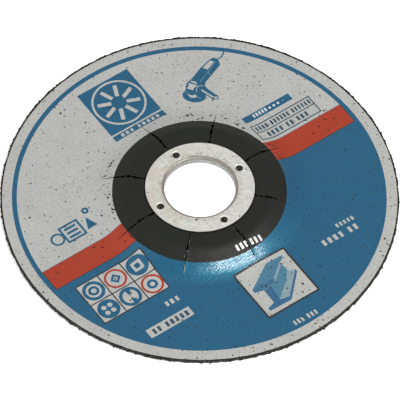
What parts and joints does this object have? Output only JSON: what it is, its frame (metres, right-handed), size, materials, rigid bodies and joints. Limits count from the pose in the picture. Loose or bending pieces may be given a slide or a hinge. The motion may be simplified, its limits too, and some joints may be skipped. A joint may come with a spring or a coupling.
{
  "type": "depressed centre cut-off wheel",
  "caption": "Thin round bonded-abrasive cutting wheel with a cranked hub, a steel collar lining its bore and a printed paper face.",
  "frame": {"origin": "bore axis on the plane that the flat rim rests on", "axes": "+Z along the bore axis, from the recessed side towards the raised, printed side of the hub; the print runs 36 degrees from +X towards +Y"},
  "size_m": [0.125, 0.125, 0.0071],
  "materials": {
    "grit": "rough",
    "collar_steel": "matt",
    "printed_paper": "satin"
  },
  "bodies": {
    "root": {"abrasive_body": "grit", "centre_ring": "collar_steel", "paper_label": "printed_paper"}
  },
  "joints": []
}
